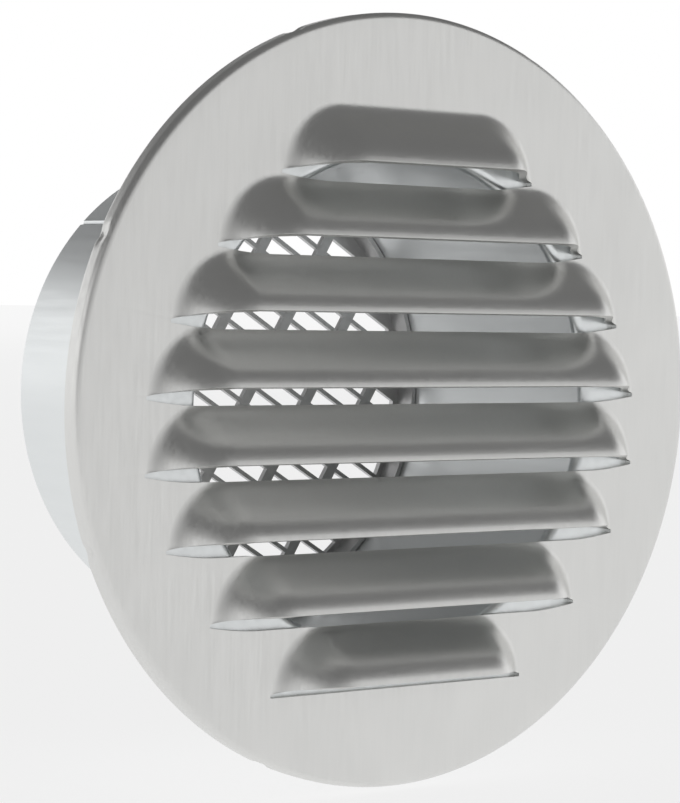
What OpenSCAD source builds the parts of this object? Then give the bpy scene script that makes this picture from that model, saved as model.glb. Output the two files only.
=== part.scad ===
// Round louvred vent grille: a pressed face plate with eight hooded louvres,
// a flanged collar held in the plate's turned edge, and a slotted grid at the back.
// The wall lies in the plane y = 0, the face looks to -Y and the collar runs to +Y.

/* [Face plate] */
// Outer diameter of the face plate
face_d = 120; // [116:1:130]
// Thickness of the face plate's sheet
sheet_t = 1.2; // [1:0.1:1.4]
// Radius of the bend round the plate's edge
edge_r = 1.1; // [0.8:0.1:1.4]
// Width of the edge turned in behind the collar's flange
hem_w = 4; // [3:0.5:6]
// Number of crimp marks round the rim
crimp_n = 8; // [4:1:8]
// Width of a crimp mark
crimp_w = 4; // [3:0.5:5]
// Depth of a crimp mark
crimp_t = 0.5; // [0.3:0.1:0.7]

/* [Louvres] */
// Height of the first slot above the centre
slot_top_z = 34.4; // [33:0.1:35.5]
// Distance from one slot to the next
louvre_pitch = 11.26; // [10.8:0.02:11.4]
// Width of the first and the last slot
slot_w_1 = 49.4; // [46:0.2:52]
// Width of the second slot from either end
slot_w_2 = 72; // [68:0.2:75]
// Width of the third slot from either end
slot_w_3 = 88; // [85:0.2:90]
// Width of the two middle slots
slot_w_4 = 96; // [93:0.2:98]
// How far the lips stand out of the plate
louvre_out = 8; // [6:0.5:9]
// How far the middle of a lip lies above its slot line
lip_rise = 2.1; // [1.6:0.1:2.6]
// How far the free top of a slat sags below the slot line
slat_sag = 0.9; // [0.5:0.1:1.2]
// Height of a slot at its very ends
slot_end_h = 0.5; // [0.4:0.1:0.7]

/* [Collar] */
// Outer diameter of the collar
collar_d = 78; // [74:0.2:80]
// Length of the collar behind the wall plane
collar_len = 47.5; // [30:0.2:60]
// Thickness of the collar's sheet
collar_t = 0.8; // [0.6:0.1:1]
// Inner radius of the bend from collar to flange
mouth_r = 1.6; // [1.2:0.1:2]
// Width of the turned-in lip at the collar's back
lip_w = 1.4; // [1:0.1:2]
// Gap between the flange and the rim round it
flange_gap = 0.3; // [0.1:0.1:0.6]
// Width of the seam groove along the collar
seam_w = 0.9; // [0.6:0.1:1.4]
// Depth of the seam groove
seam_t = 0.3; // [0.2:0.05:0.4]
// Angle of the seam above the left side
seam_angle = 44; // [0:1:60]

/* [Rear grid] */
// Thickness of the grid
grid_t = 1; // [0.8:0.1:1.5]
// Length of a grid slot
grid_slot_l = 9.24; // [7.5:0.02:9.8]
// Width of a grid slot
grid_slot_w = 2.7; // [2:0.05:2.9]
// Width of the bars between the rows of slots
grid_bar_w = 1.88; // [1.4:0.02:3]
// Width of the thin ribs between the slots
grid_rib_w = 0.71; // [0.6:0.01:1.4]
// Width of the closed border round the slots
grid_border = 1.8; // [1.5:0.1:3]
// Slope of the slots to the right
grid_angle = 31; // [0:1:45]
// Height of the grid's skirt inside the collar
skirt_h = 4; // [2:0.5:8]
// Gap between the skirt and the collar's wall
grid_gap = 0.1; // [0.05:0.05:0.3]

/* [Hidden] */
$fn = 48;
face_r = face_d / 2;
rim_h = 2 * sheet_t + collar_t;
sheet_z = sheet_t + collar_t;
slot_count = 8;
slot_w = [slot_w_1, slot_w_2, slot_w_3, slot_w_4, slot_w_4, slot_w_3, slot_w_2, slot_w_1];
hood_r = louvre_pitch;
lip_d = louvre_pitch - lip_rise;
root_tab = 0.4;
tail_r = 0.7;
curve_n = 10;
cut_n = 8;
// shares of the hood's depth and height at which its curve is steered
root_share = 0.3;
brow_share = 0.56;
brow_out_share = 0.9;
over = 1;
collar_r = collar_d / 2;
bore_r = collar_r - collar_t;
flange_r = face_r - sheet_t - flange_gap;
crimp_phase = 21;
crimp_z = 1;
rear_r = 0.4;
skirt_t = 0.8;
grid_r = bore_r - grid_gap;
grid_pitch_l = grid_slot_l + grid_bar_w;
grid_pitch_w = grid_slot_w + grid_rib_w;
// how far the slot nearest to the middle lies to the left along the slots and below across them
grid_left = 0.83;
grid_low = 1.84;
field_r = grid_r - grid_border;
reach_l = ceil(field_r / grid_pitch_l);
reach_w = ceil(field_r / grid_pitch_w);
least_slot = 0.45;

function slot_z(i) = slot_top_z - i * louvre_pitch;
function slot_half(i) = slot_w[i] / 2;

// outer line of a hood from the plate to the lip: depth under the top edge, height over the plate
function hood_d(t) =
    3 * pow(1 - t, 2) * t * root_share * lip_d
    + 3 * (1 - t) * t * t * brow_share * lip_d
    + t * t * t * lip_d;
function hood_h(t) = 3 * (1 - t) * t * t * brow_out_share * louvre_out + t * t * t * louvre_out;
function hood_dd(t) =
    3 * pow(1 - t, 2) * root_share * lip_d
    + 6 * (1 - t) * t * (brow_share - root_share) * lip_d
    + 3 * t * t * (1 - brow_share) * lip_d;
function hood_dh(t) = 6 * (1 - t) * t * brow_out_share * louvre_out + 3 * t * t * (1 - brow_out_share) * louvre_out;
function hood_len(t) = norm([hood_dd(t), hood_dh(t)]);
function front_pt(t) = [hood_r - hood_d(t), rim_h + hood_h(t)];
function back_pt(t) = [
    hood_r - hood_d(t) - sheet_t * hood_dh(t) / hood_len(t),
    rim_h + hood_h(t) - sheet_t * hood_dd(t) / hood_len(t)
];
end_slope = hood_dh(1) / hood_dd(1);
function tail_pt(p) = [tail_r, p[1] + (p[0] - tail_r) * end_slope];

// section of a hood: radius from the corner's centre, height over the wall
module hood_section() {
    steps = [for (i = [0 : curve_n]) i / curve_n];
    front = [for (t = steps) front_pt(t)];
    rear = [for (i = [curve_n : -1 : 0]) back_pt(i / curve_n)];
    polygon(concat(
        [[hood_r + root_tab, rim_h]],
        front,
        [tail_pt(front_pt(1)), tail_pt(back_pt(1))],
        rear,
        [[hood_r + root_tab, sheet_z]]
    ));
}

// one hood: straight slat with a quarter-round end on each side
module hood(w) {
    straight = w - hood_r;
    translate([-straight, 0, 0])
        rotate([90, 0, 90])
            linear_extrude(2 * straight)
                hood_section();
    for (side = [0, 1])
        mirror([side, 0, 0])
            translate([straight, 0, 0])
                rotate_extrude(angle = 90)
                    hood_section();
}

// outline of the plate that is pressed out for one hood
module hood_plan(w) {
    straight = w - hood_r;
    intersection() {
        translate([-w, 0])
            square([2 * w, hood_r]);
        union() {
            translate([-straight, 0])
                square([2 * straight, hood_r]);
            for (side = [-1, 1])
                translate([side * straight, 0])
                    circle(r = hood_r);
        }
    }
}

// shape of a slot seen from the front: arched lip line above, sagging slat below
function ramp(w, x) = sin(90 * min(1, (w - abs(x)) / (hood_r - lip_rise)));
function lip_z(w, x) = slot_end_h + (lip_rise - slot_end_h) * ramp(w, x);
function slot_xs(w) = concat(
    [for (i = [0 : cut_n]) -w + (hood_r - lip_rise) * i / cut_n],
    [for (i = [cut_n : -1 : 0]) w - (hood_r - lip_rise) * i / cut_n]
);
module slot_plan(w, sag) {
    xs = slot_xs(w);
    last = len(xs) - 1;
    polygon(concat(
        [for (x = xs) [x, lip_z(w, x)]],
        [for (i = [last : -1 : 0]) [xs[i], -sag * ramp(w, xs[i])]]
    ));
}

module plate_section() {
    // sheet from the middle to the bend, then the wall and the turned-in edge
    translate([0, sheet_z])
        square([face_r - edge_r, sheet_t]);
    difference() {
        union() {
            translate([face_r - hem_w, 0])
                square([hem_w - edge_r, rim_h]);
            translate([face_r - edge_r - over, rear_r])
                square([edge_r + over, rim_h - edge_r - rear_r]);
            translate([face_r - edge_r, rim_h - edge_r])
                circle(r = edge_r);
            translate([face_r - rear_r, rear_r])
                circle(r = rear_r);
            translate([face_r - edge_r - over, 0])
                square([edge_r + over - rear_r, rim_h / 2]);
        }
        translate([0, sheet_t])
            square([face_r - sheet_t, collar_t]);
    }
}

module face_plate() {
    color([0.78, 0.78, 0.77])
        rotate([90, 0, 0])
            difference() {
                union() {
                    difference() {
                        rotate_extrude()
                            plate_section();
                        for (i = [0 : slot_count - 1])
                            translate([0, slot_z(i), sheet_z - over / 2])
                                linear_extrude(sheet_t + over)
                                    hood_plan(slot_half(i));
                    }
                    for (i = [0 : slot_count - 1])
                        translate([0, slot_z(i), 0])
                            hood(slot_half(i));
                }
                for (i = [0 : slot_count - 1])
                    translate([0, slot_z(i), sheet_z - over / 2])
                        linear_extrude(sheet_t + louvre_out + 2 * over)
                            slot_plan(slot_half(i), i == slot_count - 1 ? 0 : slat_sag);
                for (k = [0 : crimp_n - 1])
                    rotate([0, 0, crimp_phase + k * 360 / crimp_n])
                        translate([face_r - crimp_t, 0, crimp_z])
                            rotate([0, 90, 0])
                                cylinder(h = crimp_t + over, r = crimp_w / 2);
            }
}

module collar_section() {
    bend_x = bore_r + mouth_r;
    bend_z = sheet_z - mouth_r;
    translate([bore_r, -collar_len])
        square([collar_t, collar_len + bend_z]);
    translate([bend_x, sheet_t])
        square([flange_r - bend_x, collar_t]);
    translate([bore_r - lip_w, -collar_len])
        square([lip_w + collar_t, collar_t]);
    intersection() {
        difference() {
            translate([bend_x, bend_z])
                circle(r = mouth_r);
            translate([bend_x, bend_z])
                circle(r = mouth_r - collar_t);
        }
        translate([bore_r, bend_z])
            square([mouth_r, mouth_r]);
    }
}

module collar() {
    color([0.9, 0.92, 0.92])
        rotate([90, 0, 0])
            difference() {
                rotate_extrude()
                    collar_section();
                rotate([0, 0, 180 - seam_angle])
                    translate([collar_r - seam_t, -seam_w / 2, -collar_len - over])
                        cube([seam_t + over, seam_w, collar_len + over - mouth_r]);
            }
}

// slots whose whole length or a good part of it fits inside the border
module grid_slots() {
    intersection() {
        circle(r = field_r);
        rotate([0, 0, -grid_angle])
            for (i = [-reach_l : reach_l])
                for (j = [-reach_w : reach_w]) {
                    x = i * grid_pitch_l - grid_left;
                    y = j * grid_pitch_w - grid_low;
                    edge_y = abs(y) + grid_slot_w / 2;
                    open_x = edge_y < field_r ? sqrt(field_r * field_r - edge_y * edge_y) : 0;
                    near_x = abs(x) - grid_slot_l / 2;
                    if (open_x - near_x > least_slot * grid_slot_l)
                        translate([x - grid_slot_l / 2, y - grid_slot_w / 2])
                            square([grid_slot_l, grid_slot_w]);
                }
    }
}

module rear_grid() {
    color([0.6, 0.61, 0.61])
        rotate([90, 0, 0])
            translate([0, 0, collar_t - collar_len]) {
                difference() {
                    cylinder(h = grid_t, r = grid_r);
                    translate([0, 0, -over])
                        linear_extrude(grid_t + 2 * over)
                            grid_slots();
                }
                difference() {
                    cylinder(h = grid_t + skirt_h, r = grid_r);
                    translate([0, 0, -over])
                        cylinder(h = grid_t + skirt_h + 2 * over, r = grid_r - skirt_t);
                }
            }
}

face_plate();
collar();
rear_grid();
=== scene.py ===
import math

import bmesh
import bpy
from mathutils import Matrix, Vector
from mathutils.geometry import delaunay_2d_cdt


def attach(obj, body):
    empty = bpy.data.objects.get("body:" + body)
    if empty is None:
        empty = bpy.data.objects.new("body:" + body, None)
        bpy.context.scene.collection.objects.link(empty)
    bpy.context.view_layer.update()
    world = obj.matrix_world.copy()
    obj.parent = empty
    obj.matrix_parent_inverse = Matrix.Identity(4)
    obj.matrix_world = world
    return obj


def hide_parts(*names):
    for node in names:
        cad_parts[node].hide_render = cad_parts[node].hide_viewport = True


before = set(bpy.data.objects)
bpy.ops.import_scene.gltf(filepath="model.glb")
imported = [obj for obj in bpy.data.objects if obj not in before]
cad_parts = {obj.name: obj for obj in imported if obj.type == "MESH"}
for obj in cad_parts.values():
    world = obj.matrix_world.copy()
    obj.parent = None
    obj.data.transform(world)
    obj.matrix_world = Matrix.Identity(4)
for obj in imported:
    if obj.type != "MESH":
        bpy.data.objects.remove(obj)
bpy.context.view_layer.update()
mm = 0.001
print("frame loaded")


# camera: aim point on the plate's front, angles in degrees, distances in mm
shot = {
    "azimuth": -37.33,
    "elevation": 2.14,
    "roll": 1.33,
    "distance": 411.38,
    "aim": (-12.89, -3.2, 2.1),
    "focalPixels": 2704.2,
    "centrePixels": (340.2, 388.8),
    "picture": (680, 803),
    "sensor": 36,
}


def addCamera():
    a = math.radians(shot["azimuth"])
    e = math.radians(shot["elevation"])
    back = Vector((math.sin(a) * math.cos(e), -math.cos(a) * math.cos(e), math.sin(e)))
    level = (-back).cross(Vector((0, 0, 1))).normalized()
    rise = level.cross(-back)
    roll = math.radians(shot["roll"])
    right = level * math.cos(roll) + rise * math.sin(roll)
    up = rise * math.cos(roll) - level * math.sin(roll)
    data = bpy.data.cameras.new("camera")
    camera = bpy.data.objects.new("camera", data)
    bpy.context.scene.collection.objects.link(camera)
    turn = Matrix((right, up, back)).transposed().to_4x4()
    place = (Vector(shot["aim"]) + back * shot["distance"]) * mm
    camera.matrix_world = Matrix.Translation(place) @ turn
    wide, high = shot["picture"]
    data.sensor_width = shot["sensor"]
    data.lens = shot["focalPixels"] / high * shot["sensor"]
    data.shift_x = (wide / 2 - shot["centrePixels"][0]) / high
    data.shift_y = (shot["centrePixels"][1] - high / 2) / high
    data.clip_start = 0.01
    data.clip_end = 20
    bpy.context.scene.camera = camera


addCamera()
print("camera placed")


# pressed face: sizes in mm, height measured out of the wall
face = {
    "radius": 60,
    "sheet": 1.2,
    "edgeBend": 1.1,
    "backCorner": 0.4,
    "hem": 4,
    "height": 3.2,
    "ringStart": 57,
    "around": 512,
    "crimps": 8,
    "firstCrimp": 21,
    "crimpWide": 4,
    "crimpDeep": 0.5,
    "crimpHeight": 1,
    "edgeRound": 0.13,
}
louvre = {
    "topZ": 34.4,
    "pitch": 11.26,
    "halfWidths": (24.7, 36, 44, 48, 48, 44, 36, 24.7),
    "out": 8,
    "lipRise": 2.1,
    "slatSag": 0.9,
    "endHeight": 0.5,
    "rootShare": 0.3,
    "browShare": 0.56,
    "browOut": 0.9,
    "rows": 20,
    "endSteps": 36,
    "straightStep": 1.2,
}
lipDepth = louvre["pitch"] - louvre["lipRise"]


def slotZ(i):
    return louvre["topZ"] - i * louvre["pitch"]


def slotHalf(i):
    return louvre["halfWidths"][i]


def straightHalf(i):
    return slotHalf(i) - louvre["pitch"]


def hoodDepth(t):
    return lipDepth * (
        3 * (1 - t) ** 2 * t * louvre["rootShare"]
        + 3 * (1 - t) * t * t * louvre["browShare"]
        + t**3
    )


def hoodHeight(t):
    return louvre["out"] * (3 * (1 - t) * t * t * louvre["browOut"] + t**3)


def solve(test, low, high):
    # the place between low, where the test fails, and high, where it holds
    for _ in range(40):
        middle = (low + high) / 2
        if test(middle):
            high = middle
        else:
            low = middle
    return high


def shareAt(radius):
    depth = louvre["pitch"] - radius
    if depth <= 1e-9:
        return 0.0
    return solve(lambda t: hoodDepth(t) >= depth, 0.0, 1.0)


def ramp(half, x):
    reach = min(1, max(0, (half - abs(x)) / lipDepth))
    return math.sin(math.pi / 2 * reach)


def lipLine(half, x):
    return louvre["endHeight"] + (louvre["lipRise"] - louvre["endHeight"]) * ramp(half, x)


def sagLine(i, x):
    # how far the free edge under slot i hangs below the slot's line
    if i < 0 or i == len(louvre["halfWidths"]) - 1:
        return 0.0
    return louvre["slatSag"] * ramp(slotHalf(i), x)


def endLimits(i, angle):
    # radii on hood i's quarter-round end where the sheet starts and where its lip is
    half, straight, pitch = slotHalf(i), straightHalf(i), louvre["pitch"]
    c, s = math.cos(angle), math.sin(angle)

    def aboveLip(r):
        return r * s >= lipLine(half, straight + r * c)

    def overTop(r):
        return r * s > pitch - sagLine(i - 1, straight + r * c) + 1e-7

    lip = solve(aboveLip, louvre["lipRise"] * 0.99, pitch) if aboveLip(pitch) else pitch
    start = solve(overTop, lip, pitch) if overTop(pitch) else pitch
    return start, lip


def junctionAngle(i):
    # angle on hood i's end where the slot above meets the hood's outline
    if i == 0 or slotHalf(i - 1) <= straightHalf(i):
        return math.pi / 2
    pitch, straight = louvre["pitch"], straightHalf(i)

    def cut(angle):
        x = straight + pitch * math.cos(angle)
        return pitch * math.sin(angle) > pitch - sagLine(i - 1, x) + 1e-7

    return solve(cut, 0.2, math.pi / 2) - 1e-6


def hoodColumns(i):
    # each column: x and z of its axis, direction of growth, start radius, lip radius, on the outline
    pitch, straight = louvre["pitch"], straightHalf(i)
    lowest = math.asin(louvre["endHeight"] / pitch)
    junction = junctionAngle(i)
    steps = louvre["endSteps"]
    angles = [lowest + (junction - lowest) * k / steps for k in range(steps + 1)]
    if junction < math.pi / 2 - 1e-4:
        more = max(3, round(steps * (math.pi / 2 - junction) / (math.pi / 2)))
        angles += [junction + (math.pi / 2 - junction) * k / more for k in range(1, more + 1)]
    right = []
    for angle in angles:
        start, lip = endLimits(i, angle)
        joined = angle <= junction + 1e-9
        if joined:
            start = pitch
        if i == 0 and angle > math.pi / 2 - 1e-9:
            joined = True
        right.append((straight, math.cos(angle), math.sin(angle), start, lip, joined))
    count = max(6, math.ceil(2 * straight / louvre["straightStep"]))
    edge = slotHalf(i - 1) if i else 0
    xs = [straight - 2 * straight * k / count for k in range(1, count)]
    middle = []
    for x in xs:
        start = pitch - sagLine(i - 1, x)
        joined = i == 0 or abs(x) >= edge
        middle.append((x, 0.0, 1.0, start, louvre["lipRise"], joined))
    left = [(-x, -c, s, start, lip, joined) for x, c, s, start, lip, joined in reversed(right)]
    return right + middle + left


class Sheet:
    # one pressed sheet: a front skin and the skin behind it, a sheet's thickness apart
    def __init__(self):
        self.mesh = bmesh.new()
        self.points = {}

    def point(self, x, z, height, lean):
        key = (round(x, 4), round(z, 4))
        if key not in self.points:
            nx, nz, nh = lean
            thick = face["sheet"]
            front = self.mesh.verts.new((x * mm, -height * mm, z * mm))
            behind = (x - nx * thick, -(height - nh * thick), z - nz * thick)
            back = self.mesh.verts.new([v * mm for v in behind])
            self.points[key] = (front, back)
        return self.points[key]

    def facet(self, corners, smooth):
        fronts = [c[0] for c in corners]
        if len(set(fronts)) < 3:
            return
        for ring in (fronts, [c[1] for c in reversed(corners)]):
            loop = []
            for v in ring:
                if v not in loop:
                    loop.append(v)
            if len(loop) > 2 and self.mesh.faces.get(loop) is None:
                self.mesh.faces.new(loop).smooth = smooth


def hoodPoint(sheet, i, column, share):
    axis, c, s, start, lip, joined = column
    first, last = shareAt(start), shareAt(lip)
    t = first + (last - first) * share
    depth, height = hoodDepth(t), hoodHeight(t)
    r = louvre["pitch"] - depth
    step = 1e-3
    low, high = max(0, t - step), min(1, t + step)
    run = hoodDepth(high) - hoodDepth(low)
    climb = hoodHeight(high) - hoodHeight(low)
    size = math.hypot(run, climb) or 1
    outward, lean = climb / size, run / size
    if t < 1e-6:
        outward, lean = 0.0, 1.0
    place = (axis + r * c, slotZ(i) + r * s, face["height"] + height)
    return sheet.point(*place, (c * outward, s * outward, lean))


def pressHood(sheet, i):
    columns = hoodColumns(i)
    rows = louvre["rows"]
    shares = [0.0, 0.02] + [0.02 + 0.98 * k / rows for k in range(1, rows + 1)]
    grid = [[hoodPoint(sheet, i, column, share) for share in shares] for column in columns]
    for a, b in zip(grid, grid[1:]):
        for k in range(len(shares) - 1):
            sheet.facet([a[k], a[k + 1], b[k + 1], b[k]], True)
    return [(c, g[0]) for c, g in zip(columns, grid)]


def plateOutline(hoods):
    # right half of the hole's outline, from the top hood's root down to the last slot
    flat = (0.0, 0.0, 1.0)
    outline = []
    count = len(louvre["halfWidths"])
    for i in range(count):
        pitch = louvre["pitch"]
        onArc = [c for c in hoods[i] if c[5] and (c[1] > 1e-9 or i == 0)]
        if i == 0:
            arc = [c for c in hoods[0] if c[0] + c[3] * c[1] >= -1e-9]
            arc = list(reversed([c for c in arc if c[1] > -1e-9]))
        else:
            arc = list(reversed(onArc))
            if slotHalf(i - 1) <= straightHalf(i):
                edge = [c for c in hoods[i] if c[1] == 0 and c[5] and c[0] > 0]
                arc = sorted(edge, key=lambda c: c[0]) + arc
        outline += [(c[0] + c[3] * c[1], slotZ(i) + c[3] * c[2]) for c in arc]
        outline.append((slotHalf(i), slotZ(i)))
        if i + 1 < count:
            outline += sagToArc(i)
    return outline


def sagToArc(i):
    # points along the sagging edge from the slot's end in to the next hood's outline
    if slotHalf(i) <= straightHalf(i + 1):
        return []
    junction = junctionAngle(i + 1)
    inner = straightHalf(i + 1) + louvre["pitch"] * math.cos(junction)
    steps = max(4, math.ceil((slotHalf(i) - inner) / 0.6))
    xs = [slotHalf(i) + (inner - slotHalf(i)) * k / steps for k in range(1, steps)]
    return [(x, slotZ(i) - sagLine(i, x)) for x in xs]


def fillPlate(sheet, hoods):
    right = plateOutline(hoods)
    left = [(-x, z) for x, z in reversed(right) if x > 1e-6]
    hole = []
    for p in right + left:
        if not hole or math.dist(p, hole[-1]) > 1e-4:
            hole.append(p)
    if math.dist(hole[0], hole[-1]) < 1e-4:
        hole.pop()
    around = face["around"]
    ring = [ringPlace(k) for k in range(around)]
    spots = hole + ring
    flatPoints = [Vector(p) for p in spots]
    edges = [(k, (k + 1) % len(hole)) for k in range(len(hole))]
    base = len(hole)
    edges += [(base + k, base + (k + 1) % around) for k in range(around)]
    verts, _, faces, origins, _, _ = delaunay_2d_cdt(flatPoints, edges, [], 1, 1e-6)
    inside = loopTest(hole)
    for f in faces:
        corner3 = [spots[origins[k][0]] for k in f]
        if inside(sum(p[0] for p in corner3) / 3, sum(p[1] for p in corner3) / 3):
            continue
        corners = [sheet.point(x, z, face["height"], (0, 0, 1)) for x, z in corner3]
        area = sum(
            corner3[k - 1][0] * corner3[k][1] - corner3[k][0] * corner3[k - 1][1]
            for k in range(3)
        )
        sheet.facet(corners if area > 0 else corners[::-1], False)


def loopTest(loop):
    def inside(x, z):
        found = False
        for (x1, z1), (x2, z2) in zip(loop, loop[1:] + loop[:1]):
            if (z1 > z) != (z2 > z) and x < (x2 - x1) * (z - z1) / (z2 - z1) + x1:
                found = not found
        return found

    return inside


def ringPlace(k):
    angle = 2 * math.pi * k / face["around"]
    return (face["ringStart"] * math.cos(angle), face["ringStart"] * math.sin(angle))


def rimSection():
    # radius and height from the plate's front round the edge to the plate's back
    outer, high, bend = face["radius"], face["height"], face["edgeBend"]
    corner, sheet = face["backCorner"], face["sheet"]
    section = []
    for k in range(11):
        a = math.pi / 2 * (1 - k / 10)
        section.append((outer - bend + bend * math.cos(a), high - bend + bend * math.sin(a)))
    for k in range(1, 5):
        section.append((outer, high - bend + (corner - high + bend) * k / 5))
    for k in range(7):
        a = -math.pi / 2 * k / 6
        section.append((outer - corner + corner * math.cos(a), corner + corner * math.sin(a)))
    section.append((outer - face["hem"], 0))
    section.append((outer - face["hem"], sheet))
    section.append((outer - sheet, sheet))
    section.append((outer - sheet, high - sheet))
    return section


def crimpPress(angle, r, height):
    # how far the rim is pressed in at one of its crimp marks
    step = 2 * math.pi / face["crimps"]
    away = (angle - math.radians(face["firstCrimp"]) + step / 2) % step - step / 2
    flat = math.hypot(away * face["radius"], height - face["crimpHeight"])
    if r < face["radius"] - face["sheet"] + 0.1:
        return 0.0
    reach = max(0, 1 - flat / (face["crimpWide"] / 2))
    return face["crimpDeep"] * reach * reach * (3 - 2 * reach)


def rollRim(sheet):
    around = face["around"]
    section = rimSection()
    rings = []
    starts = [sheet.points[tuple(round(v, 4) for v in ringPlace(k))] for k in range(around)]
    rings.append([s[0] for s in starts])
    for r, height in section:
        ring = []
        for k in range(around):
            angle = 2 * math.pi * k / around
            pressed = r - crimpPress(angle, r, height)
            spot = (pressed * math.cos(angle), -height, pressed * math.sin(angle))
            ring.append(sheet.mesh.verts.new([v * mm for v in spot]))
        rings.append(ring)
    rings.append([s[1] for s in starts])
    for a, b in zip(rings, rings[1:]):
        for k in range(around):
            n = (k + 1) % around
            sheet.mesh.faces.new([a[k], b[k], b[n], a[n]]).smooth = True


def closeEdges(sheet):
    # the cut edges of lips and slats, between the front skin and the one behind it
    behind = {front: back for front, back in sheet.points.values()}
    for edge in [e for e in sheet.mesh.edges if len(e.link_faces) == 1]:
        a, b = edge.verts
        if a in behind and b in behind:
            loop = edge.link_loops[0]
            first, second = loop.vert, loop.link_loop_next.vert
            corners = [second, first, behind[first], behind[second]]
            if sheet.mesh.faces.get(corners) is None:
                sheet.mesh.faces.new(corners).smooth = True


def settle(mesh, name, sharpAngle):
    bmesh.ops.remove_doubles(mesh, verts=mesh.verts, dist=2e-7)
    bmesh.ops.recalc_face_normals(mesh, faces=mesh.faces)
    data = bpy.data.meshes.new(name)
    mesh.to_mesh(data)
    mesh.free()
    data.set_sharp_from_angle(angle=math.radians(sharpAngle))
    piece = bpy.data.objects.new(name, data)
    bpy.context.scene.collection.objects.link(piece)
    return piece


def roundEdges(piece, width, angle):
    bevel = piece.modifiers.new("edge round", "BEVEL")
    bevel.width = width * mm
    bevel.segments = 2
    bevel.limit_method = "ANGLE"
    bevel.angle_limit = math.radians(angle)
    bevel.use_clamp_overlap = True


def makeFace():
    sheet = Sheet()
    hoods = [[c for c, _ in pressHood(sheet, i)] for i in range(len(louvre["halfWidths"]))]
    fillPlate(sheet, hoods)
    rollRim(sheet)
    closeEdges(sheet)
    openEdges = sum(1 for e in sheet.mesh.edges if len(e.link_faces) != 2)
    print("pressed face: faces", len(sheet.mesh.faces), "open edges", openEdges)
    piece = settle(sheet.mesh, "pressed_face", 40)
    roundEdges(piece, face["edgeRound"], 50)
    return piece


pressedFace = makeFace()
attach(pressedFace, "root")
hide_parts("face_plate")
print("face pressed")


# collar: sizes in mm
collar = {
    "radius": 39,
    "length": 47.5,
    "sheet": 0.8,
    "mouthBend": 1.6,
    "lip": 1.4,
    "flange": 58.5,
    "seat": 2,
    "seamAngle": 136,
    "seamWide": 0.9,
    "seamDeep": 0.3,
    "around": 384,
    "along": 24,
}


def collarSection():
    # height out of the wall counts up towards the face
    outer, thin = collar["radius"], collar["sheet"]
    bore, bend, seat = outer - thin, collar["mouthBend"], collar["seat"]
    centre = (bore + bend, seat - bend)
    section = [(bore - collar["lip"], -collar["length"]), (outer, -collar["length"])]
    for k in range(1, collar["along"]):
        section.append((outer, -collar["length"] + (collar["length"] + centre[1]) * k / collar["along"]))
    for k in range(9):
        a = math.pi - math.pi / 2 * k / 8
        r = bend - thin
        section.append((centre[0] + r * math.cos(a), centre[1] + r * math.sin(a)))
    section += [(collar["flange"], seat - thin), (collar["flange"], seat)]
    for k in range(9):
        a = math.pi / 2 + math.pi / 2 * k / 8
        section.append((centre[0] + bend * math.cos(a), centre[1] + bend * math.sin(a)))
    section += [(bore, -collar["length"] + thin), (bore - collar["lip"], -collar["length"] + thin)]
    return section


def seamPress(angle, r, height):
    if abs(r - collar["radius"]) > 0.01 or height > 0:
        return 0.0
    away = abs(angle - math.radians(collar["seamAngle"])) * collar["radius"]
    return collar["seamDeep"] * max(0, 1 - away / (collar["seamWide"] / 2)) ** 0.5 if away < 1 else 0.0


def collarAngles():
    even = [2 * math.pi * k / collar["around"] for k in range(collar["around"])]
    seam = math.radians(collar["seamAngle"])
    half = collar["seamWide"] / 2 / collar["radius"]
    extra = [seam + half * k / 4 for k in range(-5, 6)]
    even = [a for a in even if abs(a - seam) > half * 1.5]
    return sorted(even + extra)


def makeCollar():
    mesh = bmesh.new()
    angles = collarAngles()
    rings = []
    for r, height in collarSection():
        ring = []
        for angle in angles:
            pressed = r - seamPress(angle, r, height)
            spot = (pressed * math.cos(angle), -height, pressed * math.sin(angle))
            ring.append(mesh.verts.new([v * mm for v in spot]))
        rings.append(ring)
    for a, b in zip(rings, rings[1:] + rings[:1]):
        for k in range(len(angles)):
            n = (k + 1) % len(angles)
            mesh.faces.new([a[k], b[k], b[n], a[n]]).smooth = True
    piece = settle(mesh, "spigot", 35)
    roundEdges(piece, 0.12, 60)
    return piece


spigot = makeCollar()
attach(spigot, "root")
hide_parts("collar")
print("collar turned")


# finishes: colours are linear, grain scales are per metre
finishes = {
    "face": {
        "colour": (0.80, 0.80, 0.785),
        "roughness": 0.36,
        "spread": 0.07,
        "grain": (2600, 2600, 130),
        "bump": 0.05,
        "mottle": 60,
        "mottleShare": 0.035,
    },
    "collar": {
        "colour": (0.86, 0.885, 0.89),
        "roughness": 0.34,
        "spread": 0.05,
        "grain": (900, 60, 900),
        "bump": 0.03,
        "mottle": 35,
        "mottleShare": 0.02,
    },
    "grid": {
        "colour": (0.56, 0.56, 0.56),
        "roughness": 0.42,
        "spread": 0.08,
        "grain": (1500, 1500, 1500),
        "bump": 0.04,
        "mottle": 80,
        "mottleShare": 0.05,
    },
}


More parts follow.
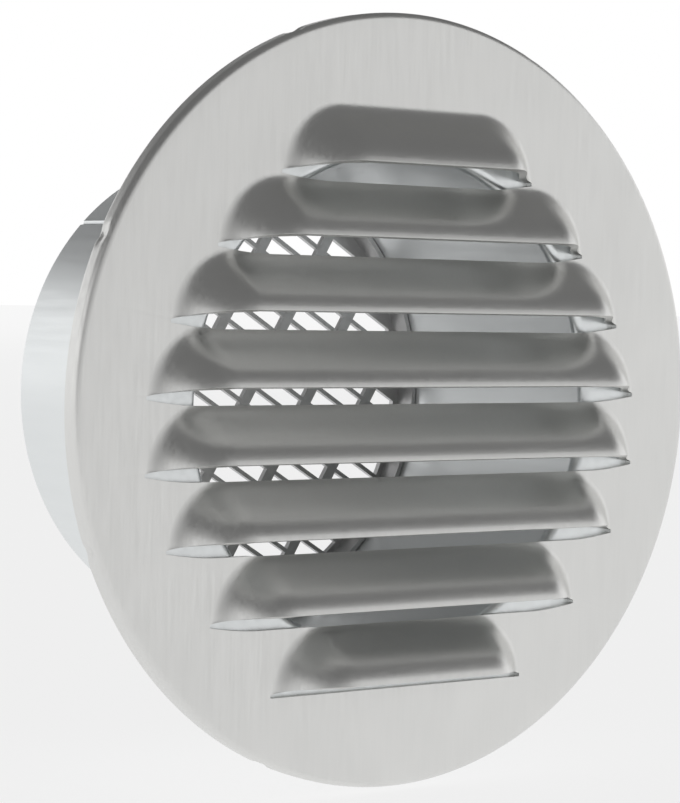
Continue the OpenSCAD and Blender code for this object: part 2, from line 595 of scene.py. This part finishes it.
def sheetFinish(name):
    look = finishes[name]
    material = bpy.data.materials.new(name + " aluminium")
    material.use_nodes = True
    nodes, links = material.node_tree.nodes, material.node_tree.links
    shader = nodes["Principled BSDF"]
    shader.inputs["Metallic"].default_value = 1
    place = nodes.new("ShaderNodeTexCoord")
    stretch = nodes.new("ShaderNodeMapping")
    stretch.inputs["Scale"].default_value = look["grain"]
    links.new(place.outputs["Object"], stretch.inputs["Vector"])
    grain = nodes.new("ShaderNodeTexNoise")
    grain.inputs["Scale"].default_value = 1
    grain.inputs["Detail"].default_value = 3
    links.new(stretch.outputs["Vector"], grain.inputs["Vector"])
    patches = nodes.new("ShaderNodeTexNoise")
    patches.inputs["Scale"].default_value = look["mottle"]
    patches.inputs["Detail"].default_value = 2
    links.new(place.outputs["Object"], patches.inputs["Vector"])
    # the grain varies the roughness
    rough = nodes.new("ShaderNodeMapRange")
    rough.inputs["From Min"].default_value = 0.3
    rough.inputs["From Max"].default_value = 0.7
    rough.inputs["To Min"].default_value = look["roughness"] - look["spread"]
    rough.inputs["To Max"].default_value = look["roughness"] + look["spread"]
    links.new(grain.outputs["Fac"], rough.inputs["Value"])
    links.new(rough.outputs["Result"], shader.inputs["Roughness"])
    # the colour drifts a little in soft patches
    tone = nodes.new("ShaderNodeMixRGB")
    dark = [v * (1 - look["mottleShare"] * 2) for v in look["colour"]]
    tone.inputs["Color1"].default_value = (*dark, 1)
    tone.inputs["Color2"].default_value = (*look["colour"], 1)
    links.new(patches.outputs["Fac"], tone.inputs["Fac"])
    links.new(tone.outputs["Color"], shader.inputs["Base Color"])
    bump = nodes.new("ShaderNodeBump")
    bump.inputs["Strength"].default_value = look["bump"]
    bump.inputs["Distance"].default_value = 0.0002
    links.new(grain.outputs["Fac"], bump.inputs["Height"])
    links.new(bump.outputs["Normal"], shader.inputs["Normal"])
    return material


def dress(piece, finish):
    piece.data.materials.clear()
    piece.data.materials.append(sheetFinish(finish))


dress(pressedFace, "face")
dress(spigot, "collar")
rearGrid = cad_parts["rear_grid"]
dress(rearGrid, "grid")
print("finishes laid")


# studio: sizes in metres, levels are brightness with 1 as white
studio = {
    "floorGap": 0.0006,
    "floorSize": 14,
    "floorColour": 0.86,
    "floorGlow": 0.82,
    "skyForDiffuse": 0.7,
    "ceilingHeight": 1.25,
    "ceilingSize": 5,
    "ceilingLevel": 0.16,
    "frontAway": 1.7,
    "frontSize": 7,
    "frontLeft": 0.42,
    "frontRight": 0.86,
}


def flatPanel(name, size, turn, place, material):
    mesh = bmesh.new()
    bmesh.ops.create_grid(mesh, x_segments=1, y_segments=1, size=size / 2)
    data = bpy.data.meshes.new(name)
    mesh.to_mesh(data)
    mesh.free()
    data.materials.append(material)
    panel = bpy.data.objects.new(name, data)
    panel.rotation_euler = turn
    panel.location = place
    bpy.context.scene.collection.objects.link(panel)
    return panel


def backgroundRays(nodes, links):
    # 1 for rays that show the background directly or in metal
    path = nodes.new("ShaderNodeLightPath")
    both = nodes.new("ShaderNodeMath")
    both.operation = "MAXIMUM"
    links.new(path.outputs["Is Camera Ray"], both.inputs[0])
    links.new(path.outputs["Is Glossy Ray"], both.inputs[1])
    every = nodes.new("ShaderNodeMath")
    every.operation = "MAXIMUM"
    links.new(both.outputs["Value"], every.inputs[0])
    links.new(path.outputs["Is Transmission Ray"], every.inputs[1])
    return every.outputs["Value"]


def floorMaterial():
    material = bpy.data.materials.new("pale floor")
    material.use_nodes = True
    nodes, links = material.node_tree.nodes, material.node_tree.links
    shader = nodes["Principled BSDF"]
    shader.inputs["Base Color"].default_value = (*[studio["floorColour"]] * 3, 1)
    shader.inputs["Roughness"].default_value = 1
    glow = nodes.new("ShaderNodeEmission")
    share = nodes.new("ShaderNodeMath")
    share.operation = "MULTIPLY"
    share.inputs[1].default_value = studio["floorGlow"]
    links.new(backgroundRays(nodes, links), share.inputs[0])
    mix = nodes.new("ShaderNodeMixShader")
    links.new(share.outputs["Value"], mix.inputs["Fac"])
    links.new(shader.outputs["BSDF"], mix.inputs[1])
    links.new(glow.outputs["Emission"], mix.inputs[2])
    links.new(mix.outputs["Shader"], nodes["Material Output"].inputs["Surface"])
    return material


def panelMaterial(name, left, right):
    # a studio panel whose glow changes evenly from one side to the other
    material = bpy.data.materials.new(name)
    material.use_nodes = True
    nodes, links = material.node_tree.nodes, material.node_tree.links
    nodes.remove(nodes["Principled BSDF"])
    place = nodes.new("ShaderNodeTexCoord")
    split = nodes.new("ShaderNodeSeparateXYZ")
    links.new(place.outputs["Generated"], split.inputs["Vector"])
    level = nodes.new("ShaderNodeMapRange")
    level.inputs["From Min"].default_value = 0.3
    level.inputs["From Max"].default_value = 0.75
    level.inputs["To Min"].default_value = left
    level.inputs["To Max"].default_value = right
    links.new(split.outputs["X"], level.inputs["Value"])
    glow = nodes.new("ShaderNodeEmission")
    links.new(level.outputs["Result"], glow.inputs["Strength"])
    links.new(glow.outputs["Emission"], nodes["Material Output"].inputs["Surface"])
    return material


def lightStudio():
    world = bpy.data.worlds.new("studio")
    bpy.context.scene.world = world
    world.use_nodes = True
    nodes, links = world.node_tree.nodes, world.node_tree.links
    level = nodes.new("ShaderNodeMapRange")
    level.inputs["To Min"].default_value = studio["skyForDiffuse"]
    level.inputs["To Max"].default_value = 1
    links.new(backgroundRays(nodes, links), level.inputs["Value"])
    sky = nodes["Background"]
    sky.inputs["Color"].default_value = (1, 1, 1, 1)
    links.new(level.outputs["Result"], sky.inputs["Strength"])
    floorZ = -face["radius"] * mm - studio["floorGap"]
    flatPanel("floor", studio["floorSize"], (0, 0, 0), (0, 0, floorZ), floorMaterial())
    dark = panelMaterial("dark ceiling", studio["ceilingLevel"], studio["ceilingLevel"])
    ceiling = flatPanel("ceiling", studio["ceilingSize"], (0, 0, 0), (0, 0, studio["ceilingHeight"]), dark)
    grey = panelMaterial("front panel", studio["frontLeft"], studio["frontRight"])
    upright = (math.pi / 2, 0, 0)
    front = flatPanel("front_panel", studio["frontSize"], upright, (0, -studio["frontAway"], 0), grey)
    ceiling.visible_camera = False
    front.visible_camera = False


lightStudio()
bpy.context.scene.view_settings.view_transform = "Standard"
print("studio lit")
